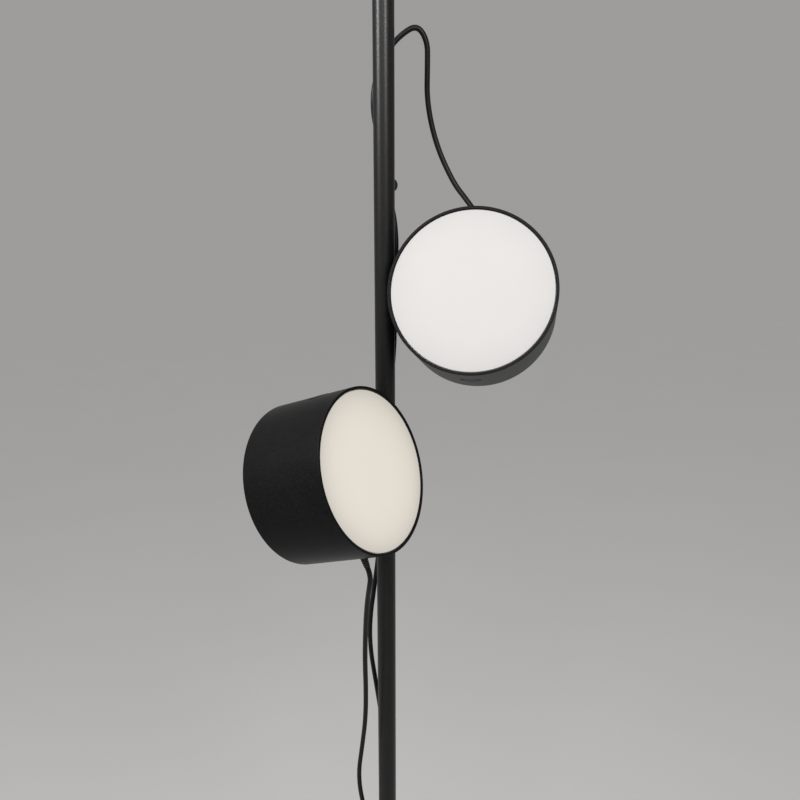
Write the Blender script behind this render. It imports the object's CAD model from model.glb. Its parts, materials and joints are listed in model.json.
"""Floor-to-ceiling tension pole lamp with two drum spotlights, in metres, +Z up, at rest on the floor.

The file follows the lamp as it is put together: foot, pole, clamp and telescope, the two cords, the drums
with their lights, the saddles that hang them on the pole, and the cords' clips, ties and plugs.
"""
import json
import math

import bmesh
import bpy
from mathutils import Matrix, Vector


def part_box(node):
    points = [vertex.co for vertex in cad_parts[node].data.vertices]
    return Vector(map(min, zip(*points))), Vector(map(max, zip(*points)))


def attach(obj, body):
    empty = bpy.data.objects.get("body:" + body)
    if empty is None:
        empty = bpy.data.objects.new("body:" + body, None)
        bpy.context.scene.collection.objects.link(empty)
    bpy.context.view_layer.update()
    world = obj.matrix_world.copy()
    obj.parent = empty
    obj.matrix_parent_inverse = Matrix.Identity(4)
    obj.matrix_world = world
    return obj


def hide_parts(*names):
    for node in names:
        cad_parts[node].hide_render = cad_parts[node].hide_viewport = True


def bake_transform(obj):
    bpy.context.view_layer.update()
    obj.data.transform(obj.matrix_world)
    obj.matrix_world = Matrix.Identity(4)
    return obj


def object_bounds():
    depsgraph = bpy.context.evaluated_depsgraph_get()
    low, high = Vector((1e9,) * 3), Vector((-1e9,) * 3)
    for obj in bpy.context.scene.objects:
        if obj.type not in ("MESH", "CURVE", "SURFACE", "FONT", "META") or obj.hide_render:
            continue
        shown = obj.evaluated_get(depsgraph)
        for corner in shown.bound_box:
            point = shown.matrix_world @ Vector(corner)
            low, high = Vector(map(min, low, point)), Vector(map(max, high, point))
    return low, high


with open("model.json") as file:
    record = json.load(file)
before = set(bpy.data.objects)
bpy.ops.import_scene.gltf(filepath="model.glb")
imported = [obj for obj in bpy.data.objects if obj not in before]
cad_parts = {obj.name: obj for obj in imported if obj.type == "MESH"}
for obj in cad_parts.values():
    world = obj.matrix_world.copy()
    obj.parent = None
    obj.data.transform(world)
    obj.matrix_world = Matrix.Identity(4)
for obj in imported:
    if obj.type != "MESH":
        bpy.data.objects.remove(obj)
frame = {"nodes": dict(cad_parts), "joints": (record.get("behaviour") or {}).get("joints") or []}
cad_low, cad_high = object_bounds()
nodes = frame["nodes"]
joints = {joint["name"]: joint for joint in frame["joints"]}
mm = 0.001


# ---- Rubber pads ----
# Two moulded discs of black rubber, one under the foot and one on the ceiling cup. Each is pressed into
# its cup's recess and keeps the sprung pole from slipping; its face has moulded ring grooves.
class Wire:
    """One output of a shader node. Arithmetic on it adds Math nodes to the same finish."""

    def __init__(self, finish, socket):
        self.finish = finish
        self.socket = socket

    def join(self, operation, first, second):
        return self.finish.add("Math", {"operation": operation}, {0: first, 1: second})

    def __add__(self, other):
        return self.join("ADD", self, other)

    def __sub__(self, other):
        return self.join("SUBTRACT", self, other)

    def __mul__(self, other):
        return self.join("MULTIPLY", self, other)

    def __pow__(self, other):
        return self.join("POWER", self, other)

    __radd__, __rmul__ = __add__, __mul__


class Finish:
    """A material being made: add() makes its nodes, and shade() gives its shader the values and wires."""

    def __init__(self, name):
        self.material = bpy.data.materials.new(name)
        self.material.use_nodes = True
        self.tree = self.material.node_tree
        self.shader = self.tree.nodes["Principled BSDF"]
        self.place = self.add("TexCoord", {}, {}, "Object")

    def add(self, kind, settings, sockets, output=0):
        node = self.tree.nodes.new("ShaderNode" + kind)
        for name, value in settings.items():
            setattr(node, name, value)
        for name, value in sockets.items():
            self.put(node.inputs[name], value)
        return Wire(self, node.outputs[output])

    def put(self, socket, value):
        if isinstance(value, Wire):
            self.tree.links.new(value.socket, socket)
        else:
            socket.default_value = value

    def noise(self, size, detail=2.0, stretch=None):
        """Noise whose lumps are about size metres across, from 0 to 1."""
        where = self.place
        if stretch:
            where = self.add("Mapping", {}, {"Vector": where, "Scale": stretch})
        return self.add("TexNoise", {}, {"Vector": where, "Scale": 1 / size, "Detail": detail})

    def between(self, share, first, second):
        return self.add("Mix", {"data_type": "RGBA"}, {0: share, 6: first, 7: second}, 2)

    def clear(self, wire, low, high):
        """The wire's range from low to high as 0 to 1, with no value outside."""
        return self.add("MapRange", {"clamp": True}, {"Value": wire, "From Min": low, "From Max": high})

    def bump(self, height, depth, below=None):
        """A relief of that depth in metres; below is a relief that it lies on."""
        sockets = {"Strength": 1.0, "Distance": depth, "Height": height}
        if below:
            sockets["Normal"] = below
        return self.add("Bump", {}, sockets)

    def shade(self, sockets):
        for name, value in sockets.items():
            self.put(self.shader.inputs[name], value)
        return self.material


def grey(level, warmth=0.0):
    return (level * (1 + warmth), level, level * (1 - warmth), 1.0)


def rubber():
    finish = Finish("pad_rubber")
    bloom = finish.noise(0.012, 4)
    pores = finish.noise(0.0006)
    return finish.shade({
        "Base Color": finish.between(bloom, grey(0.016), grey(0.03, 0.03)),
        "Roughness": 0.72 + 0.14 * bloom,
        "Specular IOR Level": 0.4,
        "Normal": finish.bump(pores, 0.00008)})


def spun(profile, steps=96, closed=False):
    """A bmesh turned about Z from (radius, height, corner round) rows; the axis closes an open profile."""
    form = bmesh.new()
    corners = [form.verts.new((radius, 0, height)) for radius, height, _ in profile]
    for first, second in zip(corners, corners[1:] + corners[:1] * closed):
        form.edges.new((first, second))
    for corner, (_, _, rounding) in zip(corners, profile):
        if rounding:
            bmesh.ops.bevel(form, geom=[corner], offset=rounding, offset_type="OFFSET", segments=3,
                            profile=0.5, affect="VERTICES", material=-1)
    bmesh.ops.spin(form, geom=form.verts[:] + form.edges[:], cent=(0, 0, 0), axis=(0, 0, 1),
                   angle=2 * math.pi, steps=steps, use_merge=True)
    bmesh.ops.remove_doubles(form, verts=form.verts, dist=1e-6)
    bmesh.ops.recalc_face_normals(form, faces=form.faces)
    return form


def piece(name, form, material, sharp=35.0, place=None):
    """Turn a finished bmesh into a piece of the lamp, with flat faces that stay flat in the shading."""
    if place:
        bmesh.ops.transform(form, matrix=place, verts=form.verts)
    for face in form.faces:
        face.smooth = True
    for edge in form.edges:
        edge.smooth = len(edge.link_faces) != 2 or edge.calc_face_angle() < math.radians(sharp)
    mesh = bpy.data.meshes.new(name)
    form.to_mesh(mesh)
    form.free()
    mesh.materials.append(material)
    made = bpy.data.objects.new(name, mesh)
    bpy.context.scene.collection.objects.link(made)
    weighted = made.modifiers.new("flat faces", "WEIGHTED_NORMAL")
    weighted.keep_sharp = True
    return made


floor = Matrix.Identity(4)
ceiling = Matrix.Translation((0, 0, cad_high.z)) @ Matrix.Rotation(math.pi, 4, "X")
pad_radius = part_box("floor_pad")[1].x
pad_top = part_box("floor_pad")[1].z
groove_count, groove_depth, groove_width = 4, 0.8 * mm, 1.6 * mm
pad_profile = [(0, 0, 0)]
for number in range(groove_count):
    groove = pad_radius * (number + 1) / (groove_count + 1)
    pad_profile += [(groove - groove_width / 2, 0, 0.2 * mm), (groove - groove_width / 2, groove_depth, 0),
                    (groove + groove_width / 2, groove_depth, 0), (groove + groove_width / 2, 0, 0.2 * mm)]
pad_profile += [(pad_radius, 0, 0.8 * mm), (pad_radius, pad_top, 0.2 * mm), (0, pad_top, 0)]
pad_material = rubber()
for node, place, body in (("floor_pad", floor, "pole"), ("ceiling_pad", ceiling, "plunger")):
    pad = piece(node + "_moulded", spun(pad_profile), pad_material, place=place)
    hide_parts(node)
    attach(pad, body)


# ---- Foot and ceiling cup ----
# The same turned steel cup at both ends: a flat disc with a low cone and a collar that takes the pole or
# the plunger's rod. It is powder coated fine-textured black, and a grub screw in the collar holds it.
def powder_coat(name, level, gloss, sand=1.0):
    """Black powder paint, baked with a fine sand texture: lumps under a millimetre and softer waves."""
    finish = Finish(name)
    grains = finish.noise(0.0007, 3)
    waves = finish.noise(0.0018, 2)
    patches = finish.noise(0.05, 3)
    sparkle = finish.clear(finish.noise(0.0006, 0), 0.64, 0.76)
    base = finish.between(patches, grey(level, 0.02), grey(1.5 * level, -0.02))
    relief = finish.bump(waves, 0.00006 * sand)
    return finish.shade({
        "Base Color": finish.between(0.3 * sparkle, base, grey(0.05, 0.02)),
        "Roughness": 0.31 + 0.1 * grains - 0.06 * sparkle,
        "Specular IOR Level": gloss,
        "Normal": finish.bump(grains, 0.00002 * sand, relief)})


def blackened_steel():
    """Turned steel, blackened in a hot salt bath: dark, with fine tool marks and paler worn spots."""
    finish = Finish("blackened_steel")
    marks = finish.noise(0.0009, 2, stretch=(0.2, 0.2, 3.0))
    worn = finish.clear(finish.noise(0.02, 5), 0.6, 0.75)
    return finish.shade({
        "Base Color": finish.between(0.5 * worn, grey(0.035, -0.03), grey(0.12)),
        "Metallic": 0.85,
        "Roughness": 0.34 + 0.14 * marks - 0.08 * worn,
        "Normal": finish.bump(marks, 0.00002)})


def moved(form, place):
    bmesh.ops.transform(form, matrix=place, verts=form.verts)
    return form


def rod(radius, low, high, steps=48, edge=0):
    return spun([(0, low, 0), (radius, low, edge), (radius, high, edge), (0, high, 0)], steps)


def carve(form, tool, operation="DIFFERENCE"):
    """Cut a second solid out of a form, or join it on, and return the result as a new form."""
    solids = []
    for solid in (form, tool):
        mesh = bpy.data.meshes.new("solid")
        solid.to_mesh(mesh)
        solid.free()
        solids.append(bpy.data.objects.new("solid", mesh))
        bpy.context.scene.collection.objects.link(solids[-1])
    boolean = solids[0].modifiers.new("carve", "BOOLEAN")
    boolean.operation, boolean.object, boolean.solver = operation, solids[1], "EXACT"
    whole = solids[0].evaluated_get(bpy.context.evaluated_depsgraph_get())
    result = bmesh.new()
    result.from_mesh(whole.to_mesh())
    whole.to_mesh_clear()
    for solid in solids:
        bpy.data.objects.remove(solid)
    return result


to_front = Matrix.Rotation(-math.pi / 2, 4, "X")      # turns a form built along Z so that it points at +Y
cup_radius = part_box("foot_cup")[1].x
cup_base, cup_top = (corner.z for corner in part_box("foot_cup"))
cup_edge, cup_slope, collar_wall, socket_depth = 4.0 * mm, 3.0 * mm, 3.0 * mm, 12.0 * mm
pole_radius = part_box("middle_tube")[1].x
rod_radius = 4.0 * mm
slide_fit = 0.1 * mm
grub_radius, grub_hex, grub_depth, grub_sink, grub_from_top = 1.9 * mm, 1.0 * mm, 1.6 * mm, 0.4 * mm, 6.0 * mm
steel_coat = powder_coat("powder_coat", 0.003, 0.3)
dark_steel = blackened_steel()


def cup(bore):
    collar, recess, foot = bore + collar_wall, pad_radius + slide_fit, cup_top - socket_depth
    form = spun([
        (0, pad_top, 0), (recess, pad_top, 0), (recess, cup_base, 0.3 * mm),
        (cup_radius, cup_base, 0.6 * mm), (cup_radius, cup_base + cup_edge, 1.2 * mm),
        (collar, cup_base + cup_edge + cup_slope, 2.0 * mm), (collar, cup_top, 0.8 * mm),
        (bore + slide_fit, cup_top, 0.3 * mm), (bore + slide_fit, foot, 0), (0, foot, 0)], steps=128)
    hole = rod(grub_radius, bore, collar + mm, 24)
    return carve(form, moved(hole, Matrix.Translation((0, 0, cup_top - grub_from_top)) @ to_front))


def grub_screw(bore):
    """A headless screw, sunk a little in the collar's thread, with its hexagon socket outwards."""
    low, high = bore + slide_fit, bore + collar_wall - grub_sink
    form = rod(grub_radius - slide_fit, low, high, 24, 0.25 * mm)
    form = carve(form, rod(grub_hex, high - grub_depth, high + mm, 6))
    return moved(form, Matrix.Translation((0, 0, cup_top - grub_from_top)) @ to_front)


for node, place, body, bore in (("foot_cup", floor, "pole", pole_radius),
                                ("ceiling_cup", ceiling, "plunger", rod_radius)):
    turned_cup = piece(node + "_turned", cup(bore), steel_coat, place=place)
    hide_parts(node)
    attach(turned_cup, body)
    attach(piece(node + "_grub_screw", grub_screw(bore), dark_steel, place=place), body)


# ---- Pole ----
# Three lengths of 20 mm steel tube, butted on inner sleeves and powder coated like the foot. The joints
# are hairlines, because the sleeves are pressed home; each tube's end has its burr taken off.
def turned_steel():
    """Bright turned steel: fine rings from the tool, with a faint oily stain."""
    finish = Finish("turned_steel")
    rings = finish.noise(0.0006, 2, stretch=(0.15, 0.15, 4.0))
    stain = finish.noise(0.018, 4)
    return finish.shade({
        "Base Color": finish.between(stain, grey(0.5, 0.01), grey(0.62, 0.03)),
        "Metallic": 1.0,
        "Roughness": 0.24 + 0.12 * rings + 0.06 * stain,
        "Normal": finish.bump(rings, 0.000015)})


def tube(radius, bore, low, high, edge):
    return spun([(radius, low, edge), (radius, high, edge), (bore, high, edge), (bore, low, edge)],
                steps=128, closed=True)


def refinish(material, *names):
    """Give CAD nodes that keep their shape a material of their own."""
    for name in names:
        for slot in nodes[name].material_slots:
            slot.material = material


tube_wall, tube_end = 1.5 * mm, 0.25 * mm
bright_steel = turned_steel()
for node in ("lower_tube", "middle_tube", "upper_tube"):
    low, high = (corner.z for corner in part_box(node))
    length = piece(node + "_coated", tube(pole_radius, pole_radius - tube_wall, low, high, tube_end),
                   steel_coat)
    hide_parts(node)
    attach(length, "pole")
refinish(bright_steel, "pole_couplers")


# ---- Clamp ----
# A turned clamp ring sits over the end of the pole on a nylon bush, and a steel thumb screw through its
# side presses on the telescope. The screw's knob has six flutes for the fingers.
def moulded_plastic(name, level):
    """Black moulded nylon with the fine spark texture of its mould."""
    finish = Finish(name)
    spark = finish.noise(0.0004, 2)
    flow = finish.noise(0.015, 3)
    return finish.shade({
        "Base Color": finish.between(flow, grey(level), grey(1.5 * level)),
        "Roughness": 0.42 + 0.14 * spark + 0.06 * flow,
        "Specular IOR Level": 0.22,
        "Normal": finish.bump(spark, 0.00003)})


black_plastic = moulded_plastic("black_plastic", 0.005)
to_side = Matrix.Rotation(math.pi / 2, 4, "Y")        # turns a form built along Z so that it points at +X
collar_low, collar_top = (corner.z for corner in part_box("lock_collar"))
collar_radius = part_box("lock_collar")[1].y
telescope_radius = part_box("telescope_tube")[1].x
bush_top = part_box("guide_bush")[1].z
screw_height = (bush_top + collar_top) / 2
screw_start, screw_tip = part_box("lock_screw")[0].x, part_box("lock_screw")[1].x
screw_radius, knob_radius, knob_length, knob_flute = 2.5 * mm, 7.0 * mm, 10.0 * mm, 0.9 * mm
knob_flutes, knob_dish, knob_rim, dish_slope = 6, 0.6 * mm, 2.0 * mm, 0.4 * mm


def clamp_ring():
    wide, narrow = pole_radius + slide_fit, telescope_radius + slide_fit
    form = spun([
        (wide, collar_low, 0.3 * mm), (collar_radius, collar_low, 0.6 * mm),
        (collar_radius, collar_top, 1.0 * mm), (narrow, collar_top, 0.4 * mm), (narrow, bush_top, 0),
        (wide, bush_top, 0)], steps=128, closed=True)
    hole = moved(rod(screw_radius + slide_fit, 0, 2 * collar_radius, 32), to_side)
    return carve(form, moved(hole, Matrix.Translation((0, 0, screw_height))))


def thumb_screw():
    seat, dish = screw_tip - knob_length, knob_radius - knob_rim - dish_slope
    form = spun([
        (0, screw_start, 0), (screw_radius, screw_start, 0.5 * mm), (screw_radius, seat, 0),
        (knob_radius, seat, 0.8 * mm), (knob_radius, screw_tip, 0.8 * mm),
        (knob_radius - knob_rim, screw_tip, 0.3 * mm), (dish, screw_tip - knob_dish, 0.2 * mm),
        (0, screw_tip - knob_dish, 0)], steps=96)
    for number in range(knob_flutes):
        angle = 2 * math.pi * number / knob_flutes
        at = Matrix.Translation((knob_radius * math.cos(angle), knob_radius * math.sin(angle), 0))
        form = carve(form, moved(rod(knob_flute, seat - mm, screw_tip + mm, 20), at))
    return moved(form, Matrix.Translation((0, 0, screw_height)) @ to_side)


clamp = piece("lock_collar_turned", clamp_ring(), steel_coat)
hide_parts("lock_collar")
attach(clamp, "pole")
screw = piece("lock_screw_turned", thumb_screw(), dark_steel)
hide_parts("lock_screw")
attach(screw, "lock_screw")
refinish(black_plastic, "guide_bush")


# ---- Telescope and sprung plunger ----
# A thinner blackened steel tube slides in the bush and sets the height. Its crimp carries a compression
# spring, and the spring pushes a bright steel rod with the ceiling cup up against the ceiling.
spring_steps = 16       # points to each turn of a spring


def wire_coil(name, radius, wire, turns, low, high):
    """A closed spring wire wound about Z."""
    curve = bpy.data.curves.new(name, "CURVE")
    curve.dimensions, curve.resolution_u = "3D", 3
    curve.bevel_depth, curve.bevel_resolution, curve.use_fill_caps = wire / 2, 1, True
    spline = curve.splines.new("NURBS")
    steps = round(spring_steps * turns)
    spline.points.add(steps)
    swell = 1 / math.cos(math.pi / spring_steps)
    for number, knot in enumerate(spline.points):
        angle = 2 * math.pi * number / spring_steps
        rise = low + (high - low) * number / steps
        knot.co = (radius * swell * math.cos(angle), radius * swell * math.sin(angle), rise, 1)
    spline.order_u, spline.use_endpoint_u = 3, True
    holder = bpy.data.objects.new(name, curve)
    form = bmesh.new()
    form.from_mesh(bpy.data.meshes.new_from_object(holder))
    bpy.data.objects.remove(holder)
    bmesh.ops.remove_doubles(form, verts=form.verts, dist=1e-6)
    bmesh.ops.recalc_face_normals(form, faces=form.faces)
    return form


telescope_low, telescope_top = (corner.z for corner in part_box("telescope_tube"))
spring_low, spring_top = (corner.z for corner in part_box("tension_spring"))
rod_low, rod_top = (corner.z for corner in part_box("plunger_rod"))
telescope_wall = 1.2 * mm
telescope_bore, lip_bore = telescope_radius - telescope_wall, rod_radius + slide_fit
lip_length, crimp_length, foot_length, spring_wire, spring_turns = 6.0 * mm, 5.0 * mm, 5.0 * mm, 1.2 * mm, 7
telescope_form = spun([
    (telescope_radius, telescope_low, 0.2 * mm), (telescope_radius, telescope_top, 0.6 * mm),
    (lip_bore, telescope_top, 0.3 * mm), (lip_bore, telescope_top - lip_length, 0),
    (telescope_bore, telescope_top - lip_length, 0), (telescope_bore, spring_low, 0),
    (lip_bore, spring_low, 0), (lip_bore, spring_low - crimp_length, 0),
    (telescope_bore, spring_low - crimp_length, 0), (telescope_bore, telescope_low, 0.2 * mm)], closed=True)
rod_foot = telescope_bore - slide_fit
plunger_form = spun([
    (0, rod_low, 0), (rod_foot, rod_low, 0.4 * mm), (rod_foot, rod_low + foot_length, 0.4 * mm),
    (rod_radius, rod_low + foot_length, 0), (rod_radius, rod_top, 0.5 * mm), (0, rod_top, 0)], steps=64)
spring_form = wire_coil("tension_spring_route", rod_foot - spring_wire / 2, spring_wire, spring_turns,
                        spring_low + spring_wire / 2, spring_top - spring_wire / 2)
for name, form, material, slot, node, body in (
        ("telescope_tube_drawn", telescope_form, dark_steel, "dark_steel", "telescope_tube", "telescope"),
        ("plunger_rod_turned", plunger_form, bright_steel, "bright_steel", "plunger_rod", "plunger")):
    made = piece(name, form, material)
    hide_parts(node)
    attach(made, body)
spring = piece("tension_spring_wound", spring_form, bright_steel)
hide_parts("tension_spring")
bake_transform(spring)


# ---- The two cords ----
# Each drum has its own round mains cord, 5.2 mm thick, with a satin black PVC sheath. It hangs free by the
# drum, winds loosely down the pole to its clip, runs to the floor and lies there in a tied coil.
heads = ("upper", "lower")
drum_radius, pole_gap = 78.0 * mm, 1.0 * mm
pivot_reach = drum_radius + pole_gap + pole_radius
gland_lean = math.radians(2.4)
gland_forward, gland_collar_height, gland_tail = 3.0 * mm, 1.5 * mm, 12.0 * mm
tail_bends = {"upper": math.radians(34), "lower": math.radians(6)}
gland_place = Matrix.Translation((0, gland_forward, 0)) @ Matrix.Rotation(gland_lean, 4, "Y")
cord_radius = 2.6 * mm
cord_first_run = 10.0 * mm
cord_lift = 3.7 * mm
coil_pitch = layer_pitch = 6.0 * mm
coil_points = 16
floor_corner = 52.0 * mm
rest_tilt = 18.4        # degrees that a drum is tilted on its pivot at rest; the lower one hangs turned over
drum_turns = {"upper": math.radians(rest_tilt), "lower": math.radians(180 - rest_tilt)}


def saddle_place(name):
    """From a saddle's own frame, with the drum's axis at its origin and the pole at +X, to the lamp's."""
    tilt = joints[name + "_tilt"]
    height = tilt["pos_m"][2]
    swing = math.atan2(tilt["axis"][1], tilt["axis"][0])
    return (Matrix.Translation((0, 0, height)) @ Matrix.Rotation(swing, 4, "Z")
            @ Matrix.Translation((-pivot_reach, 0, 0)))


def drum_place(name):
    """From a drum's own frame, with its front towards +Y and its cord at +Z, to the lamp's."""
    return saddle_place(name) @ Matrix.Rotation(drum_turns[name], 4, "X")


# control points in mm, chosen by hand, from each drum down to the floor, where the cord's coil begins
cord_routes = {
    "upper": [
        (67, 20.5, 1523.5), (50, 23.5, 1558.5), (40.6, 22.5, 1597), (40.8, 19.5, 1630), (40.6, 17.5, 1650),
        (31, 16, 1663.5), (16.5, 15.5, 1655.5), (4.5, 15, 1643), (-7.5, 13.5, 1620), (-11, 9.5, 1594),
        (-6.5, 14.5, 1567), (5.5, 12.3, 1540), (5.5, 12.3, 1508), (10.4, 8.9, 1486), (11.7, 7.4, 1455),
        (6.6, 11.8, 1413), (9.8, 9.6, 1380), (7.7, 11.1, 1347), (4.4, 12.8, 1313), (2, 13.6, 1262),
        (-4, 13.2, 1204), (-7, 13, 1150), (-12.5, 13, 1103), (-18.5, 13, 1060), (-18.8, 13.2, 1022),
        (-12.5, 13.2, 978), (-6, 13.6, 930), (0, 14, 882), (1.5, 15.4, 838), (1.5, 15.4, 792),
        (2.4, 16.2, 728), (-1, 15.8, 680), (2, 16, 625), (-3, 15.6, 560), (1, 16, 492), (4, 15.4, 425),
        (-1, 14.5, 355), (3, 15, 290), (1, 16.5, 230), (5, 19.5, 180), (11, 21.5, 134), (19, 19, 90),
        (27, 13, 44), (37, 7, 15)],
    "lower": [
        (-14.9, -84.5, 1146.5), (-17, -75, 1130), (-19.3, -63, 1105), (-21, -50, 1075),
        (-22.4, -37.5, 1038), (-22.3, -25, 995), (-23.5, -16, 952), (-28, -8, 911), (-33.5, -2, 868),
        (-30, 2, 828), (-20, 5.2, 788), (-14.2, 5.7, 750), (-14.2, 5.7, 700), (-12.5, 6.5, 655),
        (-13.8, 4, 605), (-12.5, 7, 545), (-14, 5, 480), (-12.7, 6.5, 412), (-14, 4.5, 345),
        (-13.5, 6.5, 282), (-16, 8, 225), (-15, 12, 180), (-16, 16, 134), (-21, 16.5, 90),
        (-27.5, 12.5, 46), (-37, 7, 15.5)],
}
# the runs, counted from the drum, in whose middle a cord passes from one stretch to the next
cord_splits = {"upper": (19, 30), "lower": (5, 13)}
coils = {
    "upper": {"centre": (82.0 * mm, -38.0 * mm), "side": 1, "radius": 33.0 * mm, "turns": 3.5},
    "lower": {"centre": (-78.0 * mm, -38.0 * mm), "side": -1, "radius": 41.0 * mm, "turns": 6.5},
}


def coil_place(name, turn):
    """A point of the coil, which spirals in on the floor and out again on top."""
    coil = coils[name]
    (x, y), half = coil["centre"], coil["turns"] / 2
    angle = 2 * math.pi * turn
    depth = min(turn, 2 * half - turn)
    reach = coil["radius"] - coil_pitch * depth
    climb = min(max((turn - half) * 2 + 0.5, 0), 1)
    rise = layer_pitch * climb * climb * (3 - 2 * climb)
    across = coil["side"] * reach * math.sin(angle)
    return Vector((x + across, y + reach * math.cos(angle), cord_lift + rise))


def coil_way(name, turn):
    return (coil_place(name, turn + 0.001) - coil_place(name, turn - 0.001)).normalized()


def tail_place(share, bend):
    """The middle of the gland's soft tail and its direction, from the collar (0) to the tip (1)."""
    turn, radius = bend * share, gland_tail / bend
    root = drum_radius + gland_collar_height
    middle = Vector((radius * (1 - math.cos(turn)), 0, root + radius * math.sin(turn)))
    return middle, Vector((math.sin(turn), 0, math.cos(turn)))


def route_points(name):
    """The control points of a whole cord, from its gland to its plug, and how many lie before the coil."""
    tip, out = tail_place(1, tail_bends[name])
    points = [drum_place(name) @ gland_place @ (tip + out * reach) for reach in (0, cord_first_run)]
    points += [Vector(row) * mm for row in cord_routes[name]]
    way = coil_way(name, 0)
    start = coil_place(name, 0) - way * 2 * cord_radius
    points += [start - way * (abs(start.x) - floor_corner), start]
    before = len(points)
    turns = coils[name]["turns"]
    (x, y), swell = coils[name]["centre"], 1 / math.cos(math.pi / coil_points)
    for number in range(1, round(turns * coil_points)):
        point = coil_place(name, number / coil_points)
        points.append(Vector((x + (point.x - x) * swell, y + (point.y - y) * swell, point.z)))
    end = coil_way(name, turns)
    points += [coil_place(name, turns), coil_place(name, turns) + end * 2 * cord_radius]
    return points, before


def route_curve(name, points):
    curve = bpy.data.curves.new(name + "_route", "CURVE")
    curve.dimensions, curve.resolution_u = "3D", 10
    spline = curve.splines.new("NURBS")
    spline.points.add(len(points) - 1)
    for knot, point in zip(spline.points, points):
        knot.co = (*point, 1.0)
    spline.order_u = 3
    spline.use_endpoint_u = True
    return curve


def read_mesh(curve):
    holder = bpy.data.objects.new(curve.name, curve)
    mesh = bpy.data.meshes.new_from_object(holder)
    bpy.data.objects.remove(holder)
    return mesh


def cord_sheath():
    finish = Finish("cord_sheath")
    scuffs = finish.noise(0.02, 4)
    drawn = finish.noise(0.0012, 2, stretch=(1.0, 1.0, 0.12))
    return finish.shade({
        "Base Color": finish.between(scuffs, grey(0.003), grey(0.006, 0.02)),
        "Roughness": 0.32 + 0.14 * scuffs,
        "Specular IOR Level": 0.17,
        "Normal": finish.bump(drawn, 0.00005)})


cord_material = cord_sheath()
sheath_steps = 3
cord_joins, cord_ends, plug_pieces, coil_cords = {}, {}, {"upper": [], "lower": []}, {}
loop_ways = {"upper": Vector((-0.04, 0.01, 0)), "lower": Vector((0, 0, -0.09))}


def declare(path):
    """Declare a stretch as a free cord, with the length that its own line has."""
    length = sum((after - here).length for here, after in zip(path, path[1:]))


def declare_coil(name):
    cord, path = coil_cords[name]
    declare(path)


for name in heads:
    points, before_coil = route_points(name)
    route = route_curve(name, points)
    line = [vertex.co.copy() for vertex in read_mesh(route).vertices]
    route.bevel_depth, route.bevel_resolution = cord_radius, sheath_steps
    whole = read_mesh(route)
    ring_sides = len(whole.vertices) // len(line)
    cuts = [(points[number] + points[number + 1]) / 2 for number in cord_splits[name]]
    cord_joins[name] = cuts[1]
    cuts.append(points[before_coil - 1])
    marks = [min(range(len(line)), key=lambda i: (line[i] - cut).length) for cut in cuts]
    marks = [0] + marks + [len(line) - 1]
    bodies = [name + "_head", name + "_saddle", name + "_clip", "pole"]
    cord_ends[name] = (line[-1], coil_way(name, coils[name]["turns"]))
    for number, stretch in enumerate(("cord_loop", "cord_twist", "cord_run", "cord_coil")):
        first, last = marks[number], marks[number + 1]
        form = bmesh.new()
        form.from_mesh(whole)
        form.verts.ensure_lookup_table()
        outside = form.verts[:first * ring_sides] + form.verts[(last + 1) * ring_sides:]
        bmesh.ops.delete(form, geom=outside, context="VERTS")
        bmesh.ops.holes_fill(form, edges=[edge for edge in form.edges if edge.is_boundary], sides=0)
        bmesh.ops.recalc_face_normals(form, faces=form.faces)
        cord = piece(f"{name}_{stretch}_sheath", form, cord_material, sharp=60)
        path = line[first:last + 1]
        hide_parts(f"{name}_{stretch}")
        if stretch == "cord_coil":
            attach(cord, "pole")
            coil_cords[name] = (cord, path)
            continue
        end = path[0] + loop_ways[name] if stretch == "cord_loop" else path[-1]
        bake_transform(cord)
        declare(path)


# ---- Drums ----
# Each lamp head is a deep-drawn aluminium drum, closed at the back and open at the front, with a duller
# black coat than the pole's. A pocket for the saddle, a guide for the button and a seat for the cord's gland
# are welded inside its side wall, with three posts for the heat sink on its back.
drum_coat = powder_coat("drum_coat", 0.0036, 0.06, 0.7)
drum_back, drum_front = -43.0 * mm, 47.0 * mm
drum_wall, drum_floor = 2.6 * mm, 3.0 * mm
drum_bore = drum_radius - drum_wall
boss_inset = 0.5 * mm
saddle_radius, pocket_fit, pocket_depth, pocket_wall = 15.0 * mm, 0.4 * mm, 8.0 * mm, 2.5 * mm
pocket_floor = drum_radius - pocket_depth
pivot_radius = 3.0 * mm
button_y, button_radius, button_gap, button_flange = 7.0 * mm, 9.9 * mm, 0.25 * mm, 1.1 * mm
button_step, guide_wall, guide_depth = 4.0 * mm, 1.6 * mm, 14.0 * mm
guide_bore = button_radius + button_flange + button_gap
gland_neck, gland_nut_radius, gland_boss, gland_boss_wall = 3.6 * mm, 7.0 * mm, 3.0 * mm, 1.0 * mm
gland_seat = drum_bore - gland_boss
post_radius, post_circle, post_top, post_angles = 4.5 * mm, 63.0 * mm, 21.01 * mm, (45, 180, 315)


def to_rim(form, angle, forward):
    """Turn a form built along Z to a line through the drum's axis, at an angle from the pole's side."""
    turn = Matrix.Rotation(math.radians(90 - angle), 4, "Y")
    return moved(form, Matrix.Translation((0, forward, 0)) @ turn)


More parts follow.
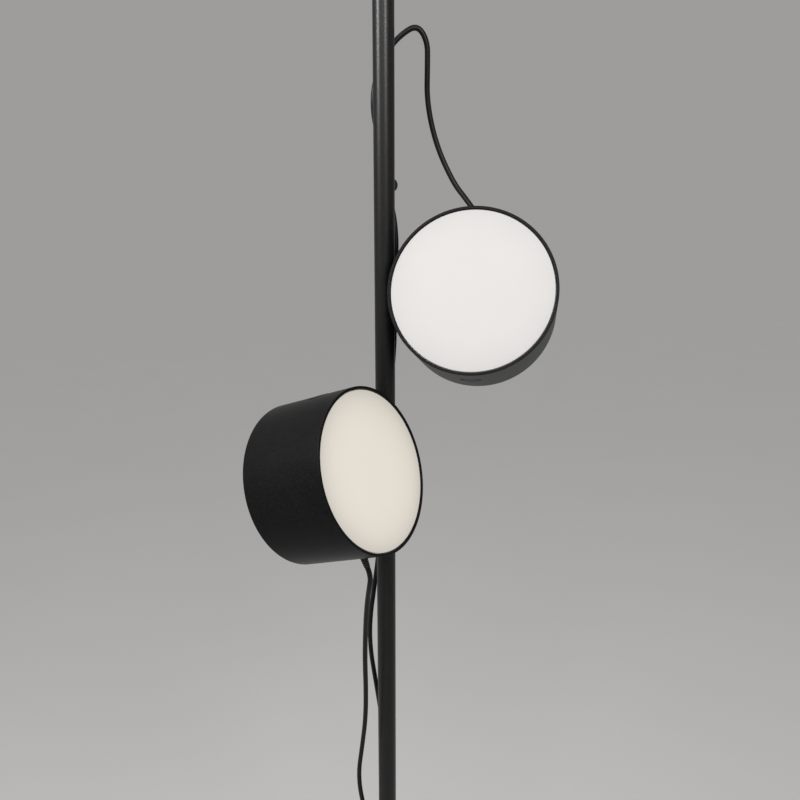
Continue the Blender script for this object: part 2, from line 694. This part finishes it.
def drum():
    shell = moved(spun([
        (0, drum_back, 0), (drum_radius, drum_back, 1.2 * mm), (drum_radius, drum_front, 0.5 * mm),
        (drum_bore, drum_front, 0.35 * mm), (drum_bore, drum_back + drum_floor, 0.8 * mm),
        (0, drum_back + drum_floor, 0)], steps=192), to_front)
    over, seat = drum_radius + mm, math.degrees(math.pi / 2 - gland_lean)
    for radius, low, angle, forward in (
            (saddle_radius + pocket_fit + pocket_wall, pocket_floor - pocket_wall, 0, 0),
            (guide_bore + guide_wall, drum_radius - guide_depth, -90, button_y),
            (gland_nut_radius + gland_boss_wall, gland_seat, seat, gland_forward)):
        boss = to_rim(rod(radius, low, drum_radius, 64), angle, forward)
        inside = moved(rod(drum_radius - boss_inset, drum_back + drum_floor, drum_front - mm, 192), to_front)
        shell = carve(shell, carve(boss, inside, "INTERSECT"), "UNION")
    for angle in post_angles:
        place = Vector((math.cos(math.radians(angle)), 0, math.sin(math.radians(angle)))) * post_circle
        post = moved(rod(post_radius, drum_back + drum_floor - mm, post_top), to_front)
        shell = carve(shell, moved(post, Matrix.Translation(place)), "UNION")
    for radius, low, high, angle, forward in (
            (saddle_radius + pocket_fit, pocket_floor, over, 0, 0),
            (pivot_radius + slide_fit, pocket_floor - 2 * pocket_wall, over, 0, 0),
            (guide_bore, drum_radius - 2 * guide_depth, drum_radius - button_step, -90, button_y),
            (button_radius + button_gap, drum_radius - guide_depth, over, -90, button_y),
            (gland_neck + slide_fit, gland_seat - mm, over, seat, gland_forward)):
        shell = carve(shell, to_rim(rod(radius, low, high, 96), angle, forward))
    return shell


for name in heads:
    shell = piece(name + "_drum_shell", drum(), drum_coat, place=drum_place(name))
    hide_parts(name + "_housing")
    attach(shell, name + "_head")


# ---- Dimmer buttons ----
# A flush black push button in the drum's side, away from the cord. Its skirt runs in the guide, its
# flange stops it under the step, and its stem presses the switch on a small board behind it.
button_skirt, button_face, button_play, flange_height = 1.6 * mm, 3.0 * mm, 0.1 * mm, 1.5 * mm
button_stem, stem_end = 2.2 * mm, 8.2 * mm
button_dish, button_dish_radius = 0.35 * mm, 7.2 * mm
dish_knee, dish_fall = 0.6, 0.8         # where the dish starts to rise, as shares of its radius and depth


def button_cap():
    top, stop = drum_radius, drum_radius - button_step - button_play
    skirt, flange, face = button_radius - button_skirt, button_radius + button_flange, top - button_face
    form = spun([
        (0, top - button_dish, 0), (dish_knee * button_dish_radius, top - dish_fall * button_dish, 0),
        (button_dish_radius, top, 0.3 * mm), (button_radius, top, 0.5 * mm), (button_radius, stop, 0),
        (flange, stop, 0.2 * mm), (flange, stop - flange_height, 0.2 * mm),
        (skirt, stop - flange_height, 0.2 * mm), (skirt, face, 0), (button_stem, face, 0),
        (button_stem, top - stem_end, 0.3 * mm), (0, top - stem_end, 0)], steps=96)
    return to_rim(form, -90, button_y)


spring_radius, button_wire, button_turns = 5.4 * mm, 0.7 * mm, 3
for name in heads:
    cap = piece(name + "_button_cap_moulded", button_cap(), black_plastic,
                place=drum_place(name))
    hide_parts(name + "_button_cap")
    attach(cap, name + "_button")
    low, high = drum_radius - guide_depth + button_wire / 2, drum_radius - button_face - button_wire / 2
    wound = wire_coil("button_spring_route", spring_radius, button_wire, button_turns, low, high)
    wound = to_rim(wound, -90, button_y)
    spring = piece(name + "_button_spring_wound", wound, bright_steel, place=drum_place(name))
    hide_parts(name + "_button_spring")
    start, end = (drum_place(name) @ Vector((0, button_y, -reach)) for reach in (low, high))
    name + "_head"
    name + "_button"
    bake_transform(spring)


# ---- Cord glands ----
# A moulded strain relief screwed into the drum: a nut inside, a collar on the wall and a soft tail of
# black rubber with ring grooves, which tapers to the cord and bends with it.
gland_inside, gland_nut, gland_collar, ring_count = 18.0 * mm, 4.0 * mm, 4.4 * mm, 5
tail_root, ring_groove, ring_gap = 4.0 * mm, 0.45 * mm, 0.9 * mm
gland_tip_radius = 3.1 * mm
# a ring groove's edges along the tail, in ring gaps, and how deep each one lies, in groove depths
ring_profile = ((0.5, 0), (1, 1), (2, 1), (2.4, 0))


def cord_gland(name):
    root, foot, tip = drum_radius + gland_collar_height, drum_radius - gland_inside, gland_tip_radius
    nut = gland_seat - gland_nut
    rows = [
        (0, foot, 0), (gland_neck, foot, 0.4 * mm), (gland_neck, nut, 0), (gland_nut_radius, nut, 0.3 * mm),
        (gland_nut_radius, gland_seat, 0), (gland_neck, gland_seat, 0), (gland_neck, drum_radius, 0),
        (gland_collar, drum_radius, 0), (gland_collar, root, 0.35 * mm), (tail_root, root, 0)]
    pitch = gland_tail / ring_count
    for number in range(ring_count):
        for along, depth in ring_profile:
            height = number * pitch + along * ring_gap
            radius = tail_root + (tip - tail_root) * height / gland_tail
            rows.append((radius - depth * ring_groove, root + height, 0.1 * mm))
    form = spun(rows + [(tip, root + gland_tail, 0.3 * mm), (0, root + gland_tail, 0)], steps=64)
    for vertex in form.verts:
        height = vertex.co.z - root
        if height > 0:
            middle, way = tail_place(height / gland_tail, tail_bends[name])
            across = Vector((way.z, 0, -way.x))
            vertex.co = middle + across * vertex.co.x + Vector((0, vertex.co.y, 0))
    return moved(form, gland_place)


for name in heads:
    gland = piece(name + "_cord_gland_moulded", cord_gland(name), pad_material, sharp=50,
                  place=drum_place(name))
    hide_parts(name + "_cord_gland")
    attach(gland, name + "_head")


# ---- Inside the drums ----
# The light, its driver and its switch. They are closed in behind the opal cover: a white reflector, a
# white board with nineteen LEDs, a finned aluminium heat sink with its screws, and the mains driver.
def plain_finish(name, first, second, size, roughness, metallic=0.0, stretch=None):
    """A finish whose colour wanders between two near tones, with a fine relief of the same size."""
    finish = Finish(name)
    wander = finish.noise(size, 3, stretch=stretch)
    fine = finish.noise(0.0006, 2, stretch=stretch)
    return finish.shade({
        "Base Color": finish.between(wander, (*first, 1.0), (*second, 1.0)),
        "Metallic": metallic,
        "Roughness": roughness - 0.05 + 0.1 * fine,
        "Normal": finish.bump(fine, 0.00003)})


inside = {
    "reflector": plain_finish("white_plastic", (0.78, 0.78, 0.76), (0.84, 0.84, 0.82), 0.03, 0.4),
    "led_board": plain_finish("white_board", (0.74, 0.75, 0.73), (0.82, 0.82, 0.8), 0.01, 0.35),
    "leds": plain_finish("led_phosphor", (0.8, 0.55, 0.1), (0.86, 0.66, 0.18), 0.002, 0.45),
    "heat_sink": plain_finish("extruded_aluminium", (0.48, 0.48, 0.49), (0.6, 0.6, 0.6), 0.02, 0.36, 1.0,
                              stretch=(0.1, 1.0, 1.0)),
    "head_screws": bright_steel,
    "driver": plain_finish("driver_case", (0.62, 0.62, 0.6), (0.7, 0.7, 0.68), 0.02, 0.5),
    "dimmer_switch": plain_finish("green_board", (0.01, 0.075, 0.03), (0.02, 0.12, 0.05), 0.004, 0.3),
}
for name in heads:
    for part, material in inside.items():
        refinish(material, f"{name}_{part}")


# ---- Opal covers ----
# A flat disc of satin opal acrylic with a short skirt, pressed into the drum on the reflector's flange.
# The light behind it is on but dimmed, so that it glows evenly and a little less towards its rim.
def dimmed(colour, share):
    return (*(share * level for level in colour[:3]), 1.0)


def opal(name, colour, glow):
    finish = Finish(name)
    rim = finish.add("Attribute", {"attribute_name": "rim"}, {}, "Fac")
    shade = rim ** 5.0
    cloud = finish.noise(0.03, 2)
    return finish.shade({
        "Base Color": finish.between(cloud, colour, dimmed(colour, 0.97)),
        "Roughness": 0.42 + 0.06 * cloud,
        "Specular IOR Level": 0.35,
        "Emission Color": finish.between(shade, glow, dimmed(glow, 0.6)),
        "Emission Strength": 1.0})


cover_gap, cover_inset = 0.7 * mm, 0.9 * mm
cover_radius, cover_front = drum_bore - cover_gap, drum_front - cover_inset
cover_rings = (0.25, 0.5, 0.7, 0.82, 0.9, 0.95)     # shares of the radius, closer where the glow falls off
cover_thickness, cover_skirt, skirt_wall = 2.5 * mm, 7.0 * mm, 2.0 * mm
cover_looks = {
    "upper": ((0.3, 0.296, 0.292, 1.0), (0.17, 0.153, 0.142, 1.0)),
    "lower": ((0.3, 0.292, 0.284, 1.0), (0.47, 0.428, 0.352, 1.0)),
}


def cover():
    back, inner = cover_front - cover_skirt, cover_radius - skirt_wall
    rings = [(cover_radius * share, cover_front, 0) for share in cover_rings]
    return spun([(0, cover_front, 0)] + rings + [
        (cover_radius, cover_front, 0.5 * mm), (cover_radius, back, 0.2 * mm), (inner, back, 0.2 * mm),
        (inner, cover_front - cover_thickness, 0), (0, cover_front - cover_thickness, 0)], steps=160)


for name in heads:
    form = cover()
    rim = form.verts.layers.float.new("rim")
    for vertex in form.verts:
        vertex[rim] = math.hypot(vertex.co.x, vertex.co.y) / cover_radius
    disc = piece(name + "_opal_cover", form, opal(name + "_opal", *cover_looks[name]),
                 place=drum_place(name) @ to_front)
    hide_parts(name + "_diffuser")
    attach(disc, name + "_head")


# ---- Saddles ----
# Each drum hangs on a round moulded shoe in its pocket. The shoe's outer side is hollowed to fit the pole,
# two magnets in it grip the steel, and a shoulder screw with a spring washer lets the drum tilt stiffly.
saddle_wrap, saddle_gap, saddle_edge = 1.5 * mm, 0.3 * mm, 0.8 * mm
magnet_size, magnet_spacing, magnet_edge = Vector((7.0, 5.0, 16.0)) * mm, 15.0 * mm, 0.3 * mm
pivot_thread, pivot_grip, pivot_head_radius, pivot_head = 2.0 * mm, 5.5 * mm, 5.0 * mm, 4.0 * mm
pivot_socket, pivot_socket_depth = 2.5 * mm, 2.4 * mm
washer_thickness, washer_radius, washer_flat, washer_cone = 1.2 * mm, 5.6 * mm, 1.5 * mm, 0.4 * mm
saddle_floor = pocket_floor + slide_fit
washer_back = pocket_floor - pocket_wall - washer_thickness


def block(size, edge, segments=3):
    """A rounded block round the origin."""
    form = bmesh.new()
    bmesh.ops.create_cube(form, size=1.0)
    bmesh.ops.scale(form, vec=size, verts=form.verts)
    bmesh.ops.bevel(form, geom=form.edges[:], offset=edge, segments=segments, profile=0.5, affect="EDGES",
                    material=-1)
    return form


def magnet_centre(side):
    return Matrix.Translation((saddle_floor + magnet_size.x / 2, side * magnet_spacing / 2, 0))


def saddle():
    top = drum_radius + pole_gap + saddle_wrap
    form = moved(rod(saddle_radius, saddle_floor, top, 128, saddle_edge), to_side)
    hollow = moved(rod(pole_radius + saddle_gap, -2 * saddle_radius, 2 * saddle_radius, 128),
                   Matrix.Translation((pivot_reach, 0, 0)))
    form = carve(form, hollow)
    for side in (-1, 1):
        form = carve(form, moved(block(magnet_size, magnet_edge), magnet_centre(side)))
    return carve(form, moved(rod(pivot_thread, 0, pocket_floor + pivot_grip, 32), to_side))


def pivot_screw():
    foot, tip = washer_back - pivot_head, pocket_floor + pivot_grip
    form = spun([
        (0, foot, 0), (pivot_head_radius, foot, 0.5 * mm), (pivot_head_radius, washer_back, 0.2 * mm),
        (pivot_radius, washer_back, 0), (pivot_radius, saddle_floor, 0.2 * mm),
        (pivot_thread, saddle_floor, 0), (pivot_thread, tip, 0.3 * mm), (0, tip, 0)], steps=48)
    socket = rod(pivot_socket, foot - mm, foot + pivot_socket_depth, 6)
    return moved(carve(form, socket), to_side)


def spring_washer():
    bore, top = pivot_radius + slide_fit, washer_back + washer_thickness
    return moved(spun([
        (bore, washer_back, 0), (pivot_radius + washer_flat, washer_back, 0),
        (washer_radius, washer_back + washer_cone, 0), (washer_radius, top, 0),
        (washer_radius - washer_flat, top, 0), (bore, top - washer_cone, 0)], steps=64, closed=True), to_side)


nickel = plain_finish("nickel_plate", (0.6, 0.59, 0.56), (0.68, 0.66, 0.62), 0.01, 0.22, 1.0)
for name in heads:
    place = saddle_place(name)
    for part, form, material, slot in (
            ("saddle", saddle(), black_plastic, "black_plastic"),
            ("pivot_screw", pivot_screw(), bright_steel, "bright_steel"),
            ("spring_washer", spring_washer(), bright_steel, "bright_steel")):
        made = piece(f"{name}_{part}_made", form, material, place=place)
        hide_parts(f"{name}_{part}")
        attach(made, name + "_saddle")
    for side, end in ((-1, "left"), (1, "right")):
        form = moved(block(magnet_size, magnet_edge), magnet_centre(side))
        magnet = piece(f"{name}_magnet_{end}", form, nickel, place=place)
        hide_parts(name + "_magnets")
        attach(magnet, name + "_saddle")


# ---- Cord clips ----
# A moulded spring clip snaps round the pole from behind, and the open hook on its back takes the cord.
clip_wall, clip_height, clip_edge = 2.3 * mm, 10.0 * mm, 0.5 * mm
holder_wall, holder_gap = 1.4 * mm, 0.15 * mm
clip_span = math.radians(270)


def open_ring(bore, wall, opening):
    """Three quarters of a ring about Z, with its opening centred at an angle from +X."""
    form = bmesh.new()
    corners = [form.verts.new(spot) for spot in (
        (bore, 0, -clip_height / 2), (bore + wall, 0, -clip_height / 2), (bore + wall, 0, clip_height / 2),
        (bore, 0, clip_height / 2))]
    for first, second in zip(corners, corners[1:] + corners[:1]):
        form.edges.new((first, second))
    bmesh.ops.bevel(form, geom=form.verts[:], offset=clip_edge, segments=3, profile=0.5, affect="VERTICES",
                    material=-1)
    bmesh.ops.spin(form, geom=form.verts[:] + form.edges[:], cent=(0, 0, 0), axis=(0, 0, 1), angle=clip_span,
                   steps=54)
    bmesh.ops.holes_fill(form, edges=[edge for edge in form.edges if edge.is_boundary], sides=0)
    bmesh.ops.recalc_face_normals(form, faces=form.faces)
    return moved(form, Matrix.Rotation(opening + math.pi - clip_span / 2, 4, "Z"))


def cord_clip(at):
    reach, bore, hold = math.hypot(at.x, at.y), pole_radius + slide_fit, cord_radius + holder_gap
    behind = Matrix.Translation((reach, 0, 0))
    hook = moved(open_ring(hold, holder_wall, 0), behind)
    form = carve(open_ring(bore, clip_wall, math.pi), hook, "UNION")
    form = carve(form, rod(bore, -clip_height, clip_height, 96))
    form = carve(form, moved(rod(hold, -clip_height, clip_height, 48), behind))
    swing = Matrix.Rotation(math.atan2(at.y, at.x), 4, "Z")
    return moved(form, Matrix.Translation((0, 0, at.z)) @ swing)


for name in heads:
    clip = piece(name + "_cord_clip_moulded", cord_clip(cord_joins[name]), black_plastic)
    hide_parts(name + "_cord_clip")
    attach(clip, name + "_clip")


# ---- Cord button ----
# A small domed magnet in a moulded cap holds the upper cord at the back of the pole, in a groove.
button_spot, button_height = Vector((5.5, 12.3, 0)) * mm, 1521.5 * mm
button_dome, button_cover, dome_steps = 1.4 * mm, 2.0 * mm, 8
cap_low, cap_high = (corner.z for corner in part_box("upper_cord_button"))


def cord_button():
    radius, reach, hold = (cap_high - cap_low) / 2, button_spot.length, cord_radius + holder_gap
    top = reach + hold + button_cover
    rise = [(radius * math.sin(turn), top - button_dome * (1 - math.cos(turn)), 0)
            for turn in (math.pi / 2 * step / dome_steps for step in range(dome_steps - 1, 0, -1))]
    side = [(0, 0, 0), (radius, 0, 0), (radius, top - button_dome, 0.3 * mm)]
    form = moved(spun(side + rise + [(0, top, 0)], steps=64), to_side)
    groove = moved(rod(hold, -2 * radius, 2 * radius, 48), Matrix.Translation((reach, 0, 0)))
    slot = block((reach, 2 * hold, 4 * radius), 0.1 * mm)
    form = carve(carve(form, groove), moved(slot, Matrix.Translation((reach / 2, 0, 0))))
    form = carve(form, rod(pole_radius + slide_fit, -2 * radius, 2 * radius, 96))
    swing = Matrix.Rotation(math.atan2(button_spot.y, button_spot.x), 4, "Z")
    return moved(form, Matrix.Translation((0, 0, button_height)) @ swing)


magnet_cap = piece("upper_cord_button_domed", cord_button(), black_plastic)
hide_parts("upper_cord_button")
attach(magnet_cap, "upper_saddle")


# ---- Ties ----
# A black woven strap round each coil, closed on itself, keeps its turns together beside the foot.
tie_wall, tie_width, tie_gap, tie_corner = 0.8 * mm, 9.0 * mm, 0.3 * mm, 2.0 * mm


def woven_strap():
    """Black webbing: fine crossing threads, rough, with pale lint here and there."""
    finish = Finish("woven_strap")
    across = finish.add("TexWave", {"bands_direction": "X"}, {"Vector": finish.place, "Scale": 320.0})
    along = finish.add("TexWave", {"bands_direction": "Y"}, {"Vector": finish.place, "Scale": 320.0})
    threads = 0.5 * (across + along)
    lint = finish.clear(finish.noise(0.002, 4), 0.62, 0.8)
    return finish.shade({
        "Base Color": finish.between(0.4 * lint + 0.3 * threads, grey(0.01), grey(0.05)),
        "Roughness": 0.8 + 0.1 * threads,
        "Specular IOR Level": 0.2,
        "Normal": finish.bump(threads, 0.00012)})


def tie(name):
    coil = coils[name]
    depth = coil_pitch * coil["turns"] / 2
    near = coil["radius"] - depth - cord_radius - tie_gap
    far = coil["radius"] + cord_radius + tie_gap
    low, high = cord_lift - cord_radius - tie_gap, cord_lift + layer_pitch + cord_radius + tie_gap
    size = Vector((far - near, tie_width, high - low))
    inner = block((size.x, 2 * tie_width, size.z), tie_corner)
    outer = block(size + Vector((2 * tie_wall, 0, 2 * tie_wall)), 0.3 * mm, 2)
    form = moved(carve(outer, inner), Matrix.Translation(((near + far) / 2, 0, (low + high) / 2)))
    turn = Matrix.Rotation(0 if coil["side"] > 0 else math.pi, 4, "Z")
    return moved(form, Matrix.Translation((*coil["centre"], 0)) @ turn)


webbing = woven_strap()
for name in heads:
    strap = piece(name + "_cord_tie", tie(name), webbing)
    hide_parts("cord_ties")
    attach(strap, "pole")


# ---- Plugs ----
# A flat two-pin plug is moulded on each cord in the same black sheath, with a ribbed tapered relief. Its
# two round nickel-plated pins have moulded sleeves at their roots.
plug_relief, plug_length, plug_height, plug_edge = 20.0 * mm, 34.0 * mm, 14.0 * mm, 2.5 * mm
relief_tip, relief_root, relief_ribs, relief_groove = 3.2 * mm, 5.4 * mm, 6, 0.5 * mm
plug_outline = ((6.0, 0.0), (13.0, 9.0), (17.5, 16.0), (17.5, 34.0))
rib_profile = ((0.3, 0), (0.4, 1), (0.7, 1), (0.8, 0))      # a groove's edges along its rib, and their depth
pin_radius, pin_length, pin_spacing, pin_root = 2.0 * mm, 19.0 * mm, 19.0 * mm, 8.0 * mm
sleeve_length, sleeve_wall = 9.5 * mm, 0.15 * mm


def plug_body():
    """The plug in its own frame, with the cord's end at the origin and the pins towards +Z."""
    form = bmesh.new()
    sides = [(x, z) for x, z in plug_outline] + [(-x, z) for x, z in reversed(plug_outline)]
    corners = [form.verts.new((x * mm, -plug_height / 2, plug_relief + z * mm)) for x, z in sides]
    lifted = bmesh.ops.extrude_face_region(form, geom=[form.faces.new(corners)])
    back = [item for item in lifted["geom"] if isinstance(item, bmesh.types.BMVert)]
    bmesh.ops.translate(form, verts=back, vec=(0, plug_height, 0))
    bmesh.ops.recalc_face_normals(form, faces=form.faces)
    bmesh.ops.bevel(form, geom=form.edges[:], offset=plug_edge, segments=4, profile=0.5, affect="EDGES",
                    material=-1)
    rows, pitch = [(0, 0, 0), (relief_tip, 0, 0.3 * mm)], plug_relief / relief_ribs
    for number in range(relief_ribs):
        for share, depth in rib_profile:
            height = (number + share) * pitch
            radius = relief_tip + (relief_root - relief_tip) * height / plug_relief
            rows.append((radius - depth * relief_groove, height, 0.12 * mm))
    relief = spun(rows + [(relief_root, plug_relief + mm, 0), (0, plug_relief + mm, 0)], steps=48)
    return carve(form, relief, "UNION")


def plug_pins(radius, low, high, edge):
    form = bmesh.new()
    for side in (-1, 1):
        pin = moved(rod(radius, low, high, 32, edge), Matrix.Translation((side * pin_spacing / 2, 0, 0)))
        mesh = bpy.data.meshes.new("pin")
        pin.to_mesh(mesh)
        pin.free()
        form.from_mesh(mesh)
    return form


plug_top = plug_relief + plug_length
for name in heads:
    way = cord_ends[name][1]
    flat = Matrix((way.cross(Vector((0, 0, 1))), Vector((0, 0, 1)), way)).transposed().to_4x4()
    place = Matrix.Translation(cord_ends[name][0]) @ flat
    sleeves = plug_pins(pin_radius + sleeve_wall, plug_top - mm, plug_top + sleeve_length, 0.1 * mm)
    pins = plug_pins(pin_radius, plug_top - pin_root, plug_top + pin_length, 0.8 * mm)
    for part, form, material, slot in (
            ("body", plug_body(), cord_material, "cord_sheath"),
            ("sleeves", sleeves, black_plastic, "cord_sheath"),
            ("pins", pins, nickel, "nickel_magnet")):
        made = piece(f"{name}_plug_{part}", form, material, place=place)
        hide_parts(name + "_plug")
        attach(made, "pole")
        plug_pieces[name].append(made)
    declare_coil(name)


# ---- Floor, lamps and camera ----
# A plain pale floor that runs into a backdrop of its own tone, four soft lamps (two near the pole, one high
# in front and one above) and the photograph's own viewpoint.
sky_light, floor_tone = 0.62, 0.54


def ground():
    finish = Finish("pale_floor")
    mottle = finish.noise(0.4, 3)
    return finish.shade({
        "Base Color": finish.between(mottle, grey(floor_tone - 0.01, 0.012), grey(floor_tone + 0.01, 0.012)),
        "Roughness": 0.9,
        "Specular IOR Level": 0.0})


form = bmesh.new()
bmesh.ops.create_grid(form, x_segments=1, y_segments=1, size=60)
floor_mesh = bpy.data.meshes.new("floor")
form.to_mesh(floor_mesh)
form.free()
floor_mesh.materials.append(ground())
floor_piece = bpy.data.objects.new("floor", floor_mesh)
bpy.context.scene.collection.objects.link(floor_piece)


def lamp(name, spot, target, size, power):
    light = bpy.data.lights.new(name, "AREA")
    light.shape, light.size, light.size_y, light.energy = "RECTANGLE", *size, power
    holder = bpy.data.objects.new(name, light)
    holder.location = spot
    holder.rotation_euler = (Vector(target) - Vector(spot)).to_track_quat("-Z", "Y").to_euler()
    holder.visible_camera = False
    bpy.context.scene.collection.objects.link(holder)


lamp("left_lamp", (-0.85, -0.5, 1.98), (0, 0, 1.6), (0.25, 0.4), 13)
lamp("right_lamp", (0.4, -0.95, 2.0), (0, 0, 1.6), (0.2, 0.35), 8)
lamp("front_lamp", (-0.52, -2.2, 2.77), (0, 0, 1.4), (0.7, 0.7), 20)
lamp("top_lamp", (-0.8, 0.1, 2.6), (-0.1, 0, 1.3), (0.6, 0.6), 6)

world = bpy.data.worlds.new("room")
bpy.context.scene.world = world
world.use_nodes = True
sky = world.node_tree.nodes["Background"]
ray = world.node_tree.nodes.new("ShaderNodeLightPath")
seen = ray.outputs["Is Camera Ray"]
for kind in ("Is Glossy Ray", "Is Transmission Ray"):
    either = world.node_tree.nodes.new("ShaderNodeMath")
    either.operation = "MAXIMUM"
    world.node_tree.links.new(seen, either.inputs[0])
    world.node_tree.links.new(ray.outputs[kind], either.inputs[1])
    seen = either.outputs[0]
tone = world.node_tree.nodes.new("ShaderNodeMix")
tone.data_type = "RGBA"
tone.inputs[6].default_value = grey(sky_light)
tone.inputs[7].default_value = grey(sky_light * floor_tone, 0.02)
world.node_tree.links.new(seen, tone.inputs[0])
world.node_tree.links.new(tone.outputs[2], sky.inputs["Color"])

looks_down, leans = math.radians(14.84), math.radians(0.06)     # found by fitting the photograph
camera = bpy.data.cameras.new("camera")
camera.lens, camera.sensor_width = 35.74, 36.0
camera.shift_x, camera.shift_y = 0.0027, 0.0233
eye = bpy.data.objects.new("camera", camera)
eye.location = (0.01292, -0.78485, 1.5)
eye.rotation_euler = (math.pi / 2 - looks_down, leans, 0)
bpy.context.scene.collection.objects.link(eye)
bpy.context.scene.camera = eye

bpy.context.scene.view_settings.view_transform = "Standard"
